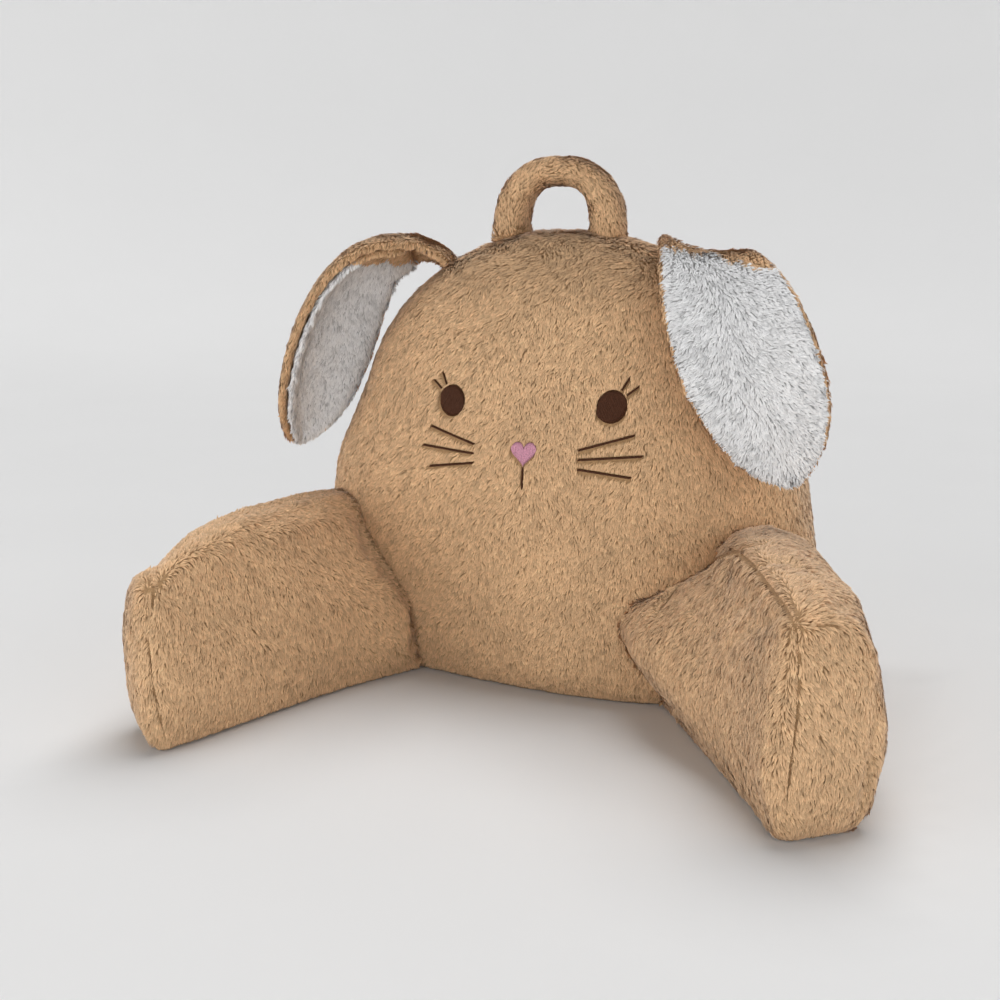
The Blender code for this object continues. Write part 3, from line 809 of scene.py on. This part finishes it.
def face_lines():
    # Name, start and end of each line of rope stitch
    lines = []
    for side, label in ((-1.0, "left"), (1.0, "right")):
        for n, degrees in enumerate(LASH_ANGLES):
            a = math.radians(degrees)
            reach = EYE_RADIUS + 0.0022
            start = (side * (EYE_SPREAD + reach * math.cos(a)), EYE_HEIGHT + reach * 1.06 * math.sin(a))
            finish = (start[0] + side * LASH_LENGTH * math.cos(a), start[1] + LASH_LENGTH * math.sin(a))
            lines.append(("lash_%s_%d" % (label, n + 1), start, finish, 0.8))
        for n, (height, length, slope) in enumerate(WHISKER_ROWS):
            a = math.radians(slope)
            start = (side * WHISKER_START, height)
            finish = (side * (WHISKER_START + length * math.cos(a)), height + length * math.sin(a))
            lines.append(("whisker_%s_%d" % (label, n + 1), start, finish, 1.0))
    low = heart_outline(28)[:, 1].min() - 0.0008
    lines.append(("mouth", (0.0, low), (0.0, low - MOUTH_LENGTH), 1.0))
    return lines


def outline_gap(places, outline):
    # Distance to a closed outline, below zero inside
    nearest = np.full(len(places), 1.0)
    inside = np.zeros(len(places), dtype=bool)
    for a, b in zip(outline, np.roll(outline, -1, axis=0)):
        nearest = np.minimum(nearest, stretch_gap(places, a, b))
        crosses = (a[1] > places[:, 1]) != (b[1] > places[:, 1])
        rise = b[1] - a[1] if abs(b[1] - a[1]) > 1e-12 else 1e-12
        inside ^= crosses & (places[:, 0] < a[0] + (places[:, 1] - a[1]) * (b[0] - a[0]) / rise)
    return np.where(inside, -nearest, nearest)


def stitch_gap(points):
    # Distance in front view from the nearest stitched shape
    places = points[:, (0, 2)]
    gap = np.full(len(places), 1.0)
    for outline in (eye_outline(-1.0, 32), eye_outline(1.0, 32), heart_outline(32)):
        gap = np.minimum(gap, outline_gap(places, outline))
    for _, start, finish, _ in face_lines():
        gap = np.minimum(gap, stretch_gap(places, np.array(start), np.array(finish)) - STITCH_PART)
    return gap


def trim_for_stitches(roots, tips, normals):
    # Tufts stop at the stitching, as the needle has tied them down there
    share = np.ones(len(roots))
    near = (roots[:, 1] < 0.0) & (np.abs(roots[:, 0]) < 0.13) & (roots[:, 2] > 0.17) & (roots[:, 2] < 0.29)
    index = np.nonzero(near)[0]
    a = roots[index]
    b = tips[index]
    reach = np.full(len(index), 1.0)
    for step in np.arange(1.0, 0.05, -0.1):
        gap = stitch_gap(a + (b - a) * step)
        reach = np.where(gap < 0.0, np.minimum(reach, step - 0.1), reach)
    reach = np.where(stitch_gap(a) < 0.0004, 0.0, reach)
    share[index] = reach
    return share


class Panel:
    # The front of the backrest's cover, which the stitching lies on
    def __init__(self, cover):
        self.tree = Solid(read_points(cover.data), read_triangles(cover.data)).tree

    def place(self, x, z, lift):
        hit = self.tree.ray_cast(Vector((x, -0.5, z)), Vector((0.0, 1.0, 0.0)))
        spot, normal = hit[0], hit[1]
        return np.array((x, spot.y - lift / max(-normal.y, 0.5), z))


def thread_run(panel, start, finish, width, low, high, steps):
    # One thread from edge to edge: it dips into the cloth at both ends
    start = np.array(start)
    finish = np.array(finish)
    along = finish - start
    along = along / np.linalg.norm(along)
    across = np.array((-along[1], along[0])) * width * 0.5
    points = []
    for i in range(steps + 1):
        v = i / steps
        spot = start + (finish - start) * v
        arch = math.sqrt(max(1.0 - (2.0 * v - 1.0) ** 4, 0.0))
        top = low + (high - low) * (0.25 + 0.75 * arch)
        slim = 0.55 + 0.45 * arch
        edge = top - width * 0.35
        for sideways, lift in ((0.0, top), (slim, edge), (0.0, low), (-slim, edge)):
            points.append(panel.place(spot[0] + across[0] * sideways, spot[1] + across[1] * sideways, lift))
    faces = []
    for i in range(steps):
        for j in range(4):
            a = i * 4 + j
            b = i * 4 + (j + 1) % 4
            faces.append((a, b, b + 4, a + 4))
    last = steps * 4
    faces.append((0, 3, 2, 1))
    faces.append((last, last + 1, last + 2, last + 3))
    return points, faces


def join_runs(name, runs, material):
    points = []
    faces = []
    for run_points, run_faces in runs:
        start = len(points)
        points.extend(run_points)
        faces.extend([tuple(start + i for i in face) for face in run_faces])
    return add_mesh(name, points, faces, material)


def satin_patch(name, panel, outline, degrees, settings, material):
    # Parallel threads side by side across a closed outline
    a = math.radians(degrees)
    along = np.array((math.cos(a), math.sin(a)))
    across = np.array((-along[1], along[0]))
    u = outline @ along
    v = outline @ across
    rng = np.random.default_rng(len(name) + 5)
    runs = []
    level = v.min() + settings.pitch * 0.5
    while level < v.max():
        crossings = []
        for i in range(len(outline)):
            j = (i + 1) % len(outline)
            if (v[i] > level) != (v[j] > level):
                crossings.append(u[i] + (u[j] - u[i]) * (level - v[i]) / (v[j] - v[i]))
        crossings.sort()
        for left, right in zip(crossings[::2], crossings[1::2]):
            left -= rng.uniform(0.0, 0.0004)
            right += rng.uniform(0.0, 0.0004)
            if right - left > 0.0012:
                start = along * left + across * level
                finish = along * right + across * level
                lift = settings.lift * rng.uniform(0.92, 1.06)
                runs.append(thread_run(panel, start, finish, settings.pitch * 1.25, 0.0002, lift, 7))
        level += settings.pitch
    return join_runs(name, runs, material)


def rope_line(name, panel, start, finish, scale, settings, material):
    # Short slanting stitches that overlap along a line
    start = np.array(start)
    finish = np.array(finish)
    length = np.linalg.norm(finish - start)
    along = (finish - start) / length
    across = np.array((-along[1], along[0]))
    slant = along * 0.8 + across * 0.6
    reach = settings.line_width * scale / 0.6 * 0.5
    count = max(4, int(length / (settings.pitch * 1.35)))
    runs = []
    for i in range(count):
        middle = start + (finish - start) * (i + 0.5) / count
        runs.append(thread_run(panel, middle - slant * reach, middle + slant * reach, settings.pitch * 1.35,
                               0.0002, settings.lift * 0.92, 4))
    return join_runs(name, runs, material)


# Settings

def number(name, default, description, **facts):
    return FloatProperty(name=name, description=description, default=default, **facts)


def length(name, default, description):
    return number(name, default, description, unit="LENGTH")


def colour(name, default, description):
    return FloatVectorProperty(name=name, description=description, default=default, subtype="COLOR",
                               min=0.0, max=1.0)


class PillowStageSettings(bpy.types.PropertyGroup):
    floor_colour: colour("Floor", (0.74, 0.74, 0.74), "Colour of the studio floor and walls")
    sky_power: number("Ceiling light", 1.70, "Wide even light from above and behind", min=0.0)
    key_power: number("Key light", 10.6, "Low soft box at the front left", unit="POWER")
    fill_power: number("Fill light", 6.6, "Soft box at the front right", unit="POWER")
    room_light: number("Room light", 0.15, "Even light from all around", min=0.0)
    # The floor's glow fades out close in front of the pillow, a painted shadow there
    floor_glow: number("Floor light", 0.090, "Even light through the floor", min=0.0)
    # The walls have no lamps of their own: they glow, more the further out they are
    wall_glow: number("Wall light", 0.212, "Light on the walls from their own lamps", min=0.0)
    front_glow: number("Front wall light", 0.62, "Wide soft light from the wall behind the camera", min=0.0)


class PillowCoverSettings(bpy.types.PropertyGroup):
    voxel: length("Face size", 0.0046, "Size of the cover's faces")
    inset: length("Under pile", 0.0040, "Depth of the cover below the pile's tips before stuffing")
    pressure: number("Stuffing", 4.0, "Pressure of the filling", min=0.0)
    cap: length("Most swelling", 0.0040, "Furthest that a place of the cover moves")


class PillowPileSettings(bpy.types.PropertyGroup):
    spacing: length("Spacing", 0.00107, "Gap between two tufts")
    length: length("Length", 0.0070, "Length of a tuft")
    width: length("Width", 0.0013, "Width of a tuft")
    lie: number("Lie", math.radians(11.0), "Angle between the pile and the cloth", subtype="ANGLE")
    # The root colours are darker than the tip colours: painted shade deep in the pile
    tan_root: colour("Tan root", (0.52, 0.305, 0.145), "Colour at the root of the tan pile")
    tan_tip: colour("Tan tip", (0.89, 0.585, 0.335), "Colour at the tip of the tan pile")
    white_root: colour("White root", (0.80, 0.80, 0.81), "Colour at the root of the white pile")
    white_tip: colour("White tip", (0.95, 0.95, 0.95), "Colour at the tip of the white pile")


class PillowStitchSettings(bpy.types.PropertyGroup):
    pitch: length("Pitch", 0.00062, "Distance from thread to thread")
    line_width: length("Line width", 0.0017, "Width of a stitched line")
    lift: length("Height", 0.0021, "Height of the stitching over the cover")
    brown: colour("Brown", (0.075, 0.024, 0.008), "Colour of the brown thread")
    pink: colour("Pink", (0.66, 0.33, 0.43), "Colour of the pink thread")


# Pieces

def build_stage_floor(paint, glows):
    # A round floor that curves up into a low wall all around
    profile = [(0.025 * i, 0.0) for i in range(37)] + [(1.2, 0.0), (1.8, 0.0), (2.4, 0.0)]
    for i in range(1, 13):
        a = math.pi * 0.5 * i / 12
        profile.append((2.4 + 2.4 * math.sin(a), 2.4 * (1.0 - math.cos(a))))
    sides = 96
    points = [(0.0, 0.0, 0.0)]
    for radius, height in profile[1:]:
        for k in range(sides):
            turn = 2.0 * math.pi * k / sides
            points.append((radius * math.cos(turn), radius * math.sin(turn), height))
    mesh_faces = [(0, 1 + k, 1 + (k + 1) % sides) for k in range(sides)]
    for ring in range(len(profile) - 2):
        a = 1 + ring * sides
        b = a + sides
        for k in range(sides):
            n = (k + 1) % sides
            mesh_faces.append((a + k, b + k, b + n))
            mesh_faces.append((a + k, b + n, a + n))
    material, shader, tree = principled("studio_floor", 0.9, 0.0, 0.5, 0.1)
    grain = noise_between(tree, 3.0, 0.985, 1.0)
    set_inputs(tree, shader, {
        "Base Color": mix_colours(tree, "MULTIPLY", 1.0, opaque(paint), grain),
        "Emission Color": (1.0, 1.0, 1.0, 1.0),
        "Emission Strength": add_node(tree, "Attribute", {}, attribute_name="glow").outputs["Fac"],
    })
    floor = add_mesh("studio_floor", points, mesh_faces, material)
    write_share(floor.data, "glow", stage_glow(np.array(points), *glows))
    return floor


def stage_glow(points, floor_glow, wall_glow, front_glow):
    # The floor glows from below, but the glow fades out close in front of the pillow, which paints a tight
    # dark shadow there;
    # the wall glows more the higher it is, and the wall in front of the pillow most of all
    clearance = np.full(len(points), 1.0)
    for name in ("backrest", "arm_left", "arm_right"):
        gaps, _ = solid_of(name).gaps(points + (0.0, 0.0, 0.03), 0.5)
        clearance = np.minimum(clearance, gaps)
    x = points[:, 0]
    y = points[:, 1]
    beyond = np.maximum(ramp(np.abs(x - 0.026), 0.27, 0.34), ramp(y, 0.02, 0.10))
    # Painted shadow: no floor glow close in front of the pillow
    near = np.maximum(ramp(clearance, 0.02, 0.170), beyond)
    far = np.clip((np.linalg.norm(points, axis=1) - 2.6) / 2.1, 0.0, 1.0)
    return floor_glow * near + wall_glow * far + front_glow * far * ramp(-y, 1.7, 3.3)


def add_aimed(name, data, place, ahead):
    obj = bpy.data.objects.new(name, data)
    obj.location = place
    obj.rotation_mode = "QUATERNION"
    obj.rotation_quaternion = Vector(ahead).to_track_quat("-Z", "Y")
    return show(obj)


def add_soft_box(name, place, power, tone):
    data = bpy.data.lights.new(name, "AREA")
    data.shape = "DISK"
    data.size = 1.9
    data.energy = power
    data.color = tone
    add_aimed(name, data, place, Vector((0.0, -0.1, 0.15)) - Vector(place))


def add_ceiling_light(power):
    # A bright ceiling behind the pillow: its broad shadow falls towards the camera
    data = bpy.data.lights.new("ceiling_light", "SUN")
    data.energy = power
    data.angle = math.radians(42.0)
    add_aimed("ceiling_light", data, (-0.2, 0.6, 2.0), (-0.02, -0.33, -1.0))


def light_room(scene, strength):
    world = bpy.data.worlds.new("studio_room")
    world.use_nodes = True
    background = world.node_tree.nodes["Background"]
    background.inputs["Color"].default_value = (1.0, 1.0, 1.0, 1.0)
    background.inputs["Strength"].default_value = strength
    scene.world = world
    scene.view_settings.view_transform = "Standard"
    scene.view_settings.look = "None"


def add_camera(scene):
    data = bpy.data.cameras.new("photo_camera")
    data.lens = CAMERA_LENS
    data.sensor_width = 36.0
    data.clip_start = 0.05
    data.clip_end = 30.0
    turn = math.radians(CAMERA_TURN)
    tilt = math.radians(CAMERA_TILT)
    ahead = (-math.sin(turn) * math.cos(tilt), math.cos(turn) * math.cos(tilt), -math.sin(tilt))
    scene.camera = add_aimed("photo_camera", data, CAMERA_PLACE, ahead)


class PILLOW_OT_stage(bpy.types.Operator):
    """Add the studio floor, the soft lights and the camera"""
    bl_idname = "pillow.stage"
    bl_label = "Stage"

    def execute(self, context):
        settings = context.scene.pillow_stage
        glows = (settings.floor_glow, settings.wall_glow, settings.front_glow)
        build_stage_floor(settings.floor_colour, glows)
        add_ceiling_light(settings.sky_power)
        add_soft_box("key_light", (-1.9, -1.8, 0.75), settings.key_power, (1.0, 0.98, 0.96))
        add_soft_box("fill_light", (2.2, -1.3, 0.70), settings.fill_power, (0.98, 0.99, 1.0))
        light_room(context.scene, settings.room_light)
        add_camera(context.scene)
        return {"FINISHED"}


def clear_of(trees):
    # Keeps spots that aren't inside a neighbour's solid
    def keep(points, normals):
        free = np.ones(len(points), dtype=bool)
        for tree in trees:
            distance, _ = tree.gaps(points)
            free &= distance > 0.0
        return free
    return keep


def both(*tests):
    def keep(points, normals):
        result = np.ones(len(points), dtype=bool)
        for test in tests:
            result &= test(points, normals)
        return result
    return keep


def other(test):
    return lambda points, normals: ~test(points, normals)


def beyond(axis, edge):
    return lambda points, normals: points[:, axis] >= edge


def in_sight(points, normals):
    # Faces that the photograph's camera sees, and a little beyond their outline
    toward = unit(np.array(CAMERA_PLACE) - points)
    return (normals * toward).sum(axis=1) > -0.25


def facing_away(tree, reach, limit=-0.55):
    # Leaves out the faces that are pressed against the neighbour
    def keep(points, normals):
        distance, other = tree.gaps(points)
        return ~((distance < reach) & ((normals * other).sum(axis=1) < limit))
    return keep


def solid_of(name):
    source = NODES[name]
    mesh = source.data.copy()
    mesh.transform(source.matrix_world)
    solid = Solid(read_points(mesh), read_triangles(mesh))
    bpy.data.meshes.remove(mesh)
    return solid


class PILLOW_OT_backrest(bpy.types.Operator):
    """Build the backrest's stuffed cover and its pile"""
    bl_idname = "pillow.backrest"
    bl_label = "Backrest"

    def execute(self, context):
        settings = context.scene.pillow_cover
        backing = backing_material("tan_backing", BACKING_TAN)
        cover = padded_cover("backrest", "backrest_cover", backing, settings, strip_seams(0.0030, 0.0035))
        stand_for(cover, "backrest")
        neighbours = [solid_of("arm_left"), solid_of("arm_right"), solid_of("handle")]
        clear = clear_of(neighbours)
        behind = beyond(1, BACK_SPLIT)
        high = beyond(2, FRONT_SPLIT)
        seam = beside(strip_seams(1.0, 0.0030), neighbours)
        front = both(other(behind), clear)
        lay_pile("backrest_pile_lower", cover, comb_front, both(above_base, front, other(high)),
                 tan_kind(context), 101, seam=seam)
        lay_pile("backrest_pile_upper", cover, comb_front, both(front, high),
                 tan_kind(context, crown_shade=0.24), 103, trim_for_stitches, seam)
        back = both(above_base, behind, clear)
        lay_pile("backrest_pile_side", cover, comb_back, both(back, in_sight),
                 tan_kind(context, 1.20, 1.08), 102, seam=seam)
        lay_pile("backrest_pile_back", cover, comb_back, both(back, other(in_sight)),
                 tan_kind(context, FAR_FACTOR, 1.15), 104, seam=seam)
        return {"FINISHED"}


class PILLOW_OT_arms(bpy.types.Operator):
    """Build the two stuffed arms and their pile"""
    bl_idname = "pillow.arms"
    bl_label = "Arms"

    def execute(self, context):
        settings = context.scene.pillow_cover
        backing = backing_material("tan_arm_backing", BACKING_TAN)
        body = solid_of("backrest")
        arms = (
            ("arm_left", ARM_LEFT_SEAMS, comb_arm_left, 111),
            ("arm_right", ARM_RIGHT_SEAMS, comb_arm_right, 112),
        )
        for node, lines, comb, seed in arms:
            cover = padded_cover(node, node + "_cover", backing, settings, lines, body)
            stand_for(cover, node)
            trim = parted(lines)
            seam = beside(lines, [body])
            near = both(above_base, facing_away(body, 0.010), in_sight)
            lay_pile(node + "_pile", cover, comb, near, tan_kind(context), seed, trim, seam)
            far = both(above_base, facing_away(body, 0.004), other(in_sight))
            lay_pile(node + "_far_pile", cover, comb, far,
                     tan_kind(context, FAR_FACTOR, 1.12), seed + 4, trim, seam)
        return {"FINISHED"}


class PILLOW_OT_handle(bpy.types.Operator):
    """Build the padded carry handle and its pile"""
    bl_idname = "pillow.handle"
    bl_label = "Handle"

    def execute(self, context):
        backing = backing_material("tan_handle_backing", BACKING_TAN)
        cover = copy_node("handle", "handle_cover", backing)
        remesh(cover, 0.0035)
        even_out(cover, 4)
        body = solid_of("backrest")
        shrink(cover, 0.0030, body)
        cover.data.shade_smooth()
        stand_for(cover, "handle")
        lay_pile("handle_pile", cover, comb_handle, facing_away(body, 0.008),
                 tan_kind(context, 0.95, 0.85), 121, seam=beside((), [body]))
        return {"FINISHED"}


class PILLOW_OT_ears(bpy.types.Operator):
    """Build the floppy ears, tan outside and white inside"""
    bl_idname = "pillow.ears"
    bl_label = "Ears"

    def execute(self, context):
        tan = backing_material("tan_ear_backing", BACKING_TAN)
        # The lining's ground is grey: painted shade between the white tufts
        white = backing_material("white_ear_backing", (0.66, 0.65, 0.65), BACKING_TAN)
        for side, seed in (("left", 131), ("right", 141)):
            outer_tree = solid_of("ear_%s_outer" % side)
            lining_tree = solid_of("ear_%s_lining" % side)
            outer = self.flap("ear_%s_outer" % side, tan, 0.0010, EAR_FLAT, "tan_fur")
            lining = self.flap("ear_%s_lining" % side, white, -0.0002, LINING_FLAT, "white_fur", outer_tree)
            drop, slope = ROLLS[side]
            height = self.roll_height(read_points(lining.data), slope)
            roll = height.max() - drop
            write_share(lining.data, "rolled", ramp(height, roll - 0.002, roll + 0.001))

            def above_roll(points, normals):
                return self.roll_height(points, slope) - 0.002 * ripple(points, 0.012, 41) > roll

            free = facing_away(outer_tree, 0.004, -0.88)
            outside = facing_away(lining_tree, 0.0022)
            fine = tan_kind(context, 0.95, 0.85)
            lay_pile("ear_%s_pile" % side, outer, comb_ear, both(outside, in_sight), fine, seed)
            lay_pile("ear_%s_far_pile" % side, outer, comb_ear, both(outside, other(in_sight)),
                     tan_kind(context, 1.5, 0.95), seed + 3)
            lay_pile("ear_%s_roll_pile" % side, lining, comb_ear, both(free, above_roll),
                     tan_kind(context, 0.90, 0.85), seed + 2)
            lay_pile("ear_%s_lining_pile" % side, lining, comb_lining, both(free, other(above_roll)),
                     white_kind(context), seed + 1)
        return {"FINISHED"}

    def roll_height(self, points, slope):
        return points[:, 2] + slope * points[:, 0]

    def flap(self, node, material, inset, flat, slot, sewn_on=None):
        cover = copy_node(node, node + "_cloth", material)
        tool = cover.modifiers.new("finer", "SUBSURF")
        tool.subdivision_type = "SIMPLE"
        tool.levels = 1
        bake_modifiers(cover)
        even_out(cover, 4)
        shrink(cover, inset)
        if sewn_on is not None:
            # The lining lies on the ear's outside and its edge is turned in close to the rim
            points = read_points(cover.data)
            normals = read_normals(cover.data)
            _, facing = sewn_on.gaps(points)
            edgeways = normals - facing * (facing * normals).sum(axis=1)[:, None]
            write_points(cover.data, points + edgeways * LINING_SPREAD - facing * LINING_SETTLE)
        cover.data.shade_smooth()
        stand_for(cover, node)
        return cover


class PILLOW_OT_face(bpy.types.Operator):
    """Sew the eyes, nose, mouth, lashes and whiskers on the front panel"""
    bl_idname = "pillow.face"
    bl_label = "Sewn face"

    def execute(self, context):
        settings = context.scene.pillow_stitch
        brown = thread_material("brown_thread_satin", tuple(settings.brown))
        pink = thread_material("pink_thread_satin", tuple(settings.pink))
        panel = Panel(bpy.data.objects["backrest_cover"])
        patches = (
            ("eye_left", eye_outline(-1.0, 48), 62.0, brown, "brown_thread"),
            ("eye_right", eye_outline(1.0, 48), 118.0, brown, "brown_thread"),
            ("nose", heart_outline(64), 90.0, pink, "pink_thread"),
        )
        for node, outline, degrees, material, slot in patches:
            patch = satin_patch(node + "_stitches", panel, outline, degrees, settings, material)
            stand_for(patch, node)
        for node, start, finish, scale in face_lines():
            line = rope_line(node + "_stitches", panel, start, finish, scale, settings, brown)
            stand_for(line, node)
        return {"FINISHED"}


class PILLOW_PT_sidebar(bpy.types.Panel):
    """Sizes, colours and the building steps of the pillow"""
    bl_label = "Backrest pillow"
    bl_idname = "PILLOW_PT_sidebar"
    bl_space_type = "VIEW_3D"
    bl_region_type = "UI"
    bl_category = "Pillow"

    def draw(self, context):
        for group in ("pillow_stage", "pillow_cover", "pillow_pile", "pillow_stitch"):
            box = self.layout.box()
            settings = getattr(context.scene, group)
            for key in settings.bl_rna.properties.keys():
                if key not in ("rna_type", "name"):
                    box.prop(settings, key)
        for operator in OPERATORS:
            self.layout.operator(operator.bl_idname)


GROUPS = (
    ("pillow_stage", PillowStageSettings),
    ("pillow_cover", PillowCoverSettings),
    ("pillow_pile", PillowPileSettings),
    ("pillow_stitch", PillowStitchSettings),
)
OPERATORS = (
    PILLOW_OT_stage,
    PILLOW_OT_backrest,
    PILLOW_OT_arms,
    PILLOW_OT_handle,
    PILLOW_OT_ears,
    PILLOW_OT_face,
)


def register():
    for name, group in GROUPS:
        bpy.utils.register_class(group)
        setattr(bpy.types.Scene, name, PointerProperty(type=group))
    for operator in OPERATORS:
        bpy.utils.register_class(operator)
    bpy.utils.register_class(PILLOW_PT_sidebar)


def unregister():
    bpy.utils.unregister_class(PILLOW_PT_sidebar)
    for operator in reversed(OPERATORS):
        bpy.utils.unregister_class(operator)
    for name, group in reversed(GROUPS):
        delattr(bpy.types.Scene, name)
        bpy.utils.unregister_class(group)


def main():
    register()
    for operator in OPERATORS:
        getattr(bpy.ops.pillow, operator.bl_idname.split(".")[1])()


if __name__ == "__main__":
    main()
